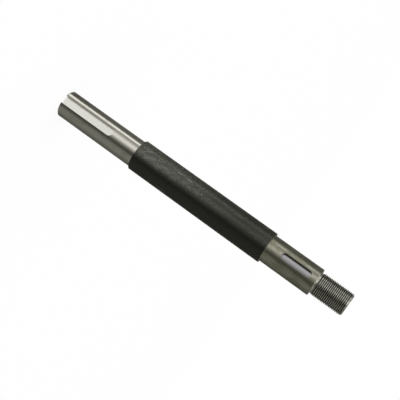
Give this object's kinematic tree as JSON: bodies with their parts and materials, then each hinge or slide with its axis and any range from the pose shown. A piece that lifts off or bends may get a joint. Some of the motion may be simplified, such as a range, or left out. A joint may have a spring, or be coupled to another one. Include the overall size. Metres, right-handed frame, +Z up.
{
  "type": "stepped shaft",
  "caption": "Stepped drive shaft: a keyed journal open at its end, a plain black bar, a keyed hub seat and a threaded end for a lock nut.",
  "frame": {"origin": "centre of the lower end face, the keyed drive end on which the shaft stands", "axes": "+Z up along the shaft's axis to the threaded end; both keyways open towards -Y; +X completes the right-handed frame"},
  "size_m": [0.0364, 0.0364, 0.38],
  "materials": {
    "steel": "turned bright on the journals and the thread, black rolled skin on the bar between the shoulders"
  },
  "bodies": {
    "root": {"stepped_shaft": "steel"}
  },
  "joints": []
}
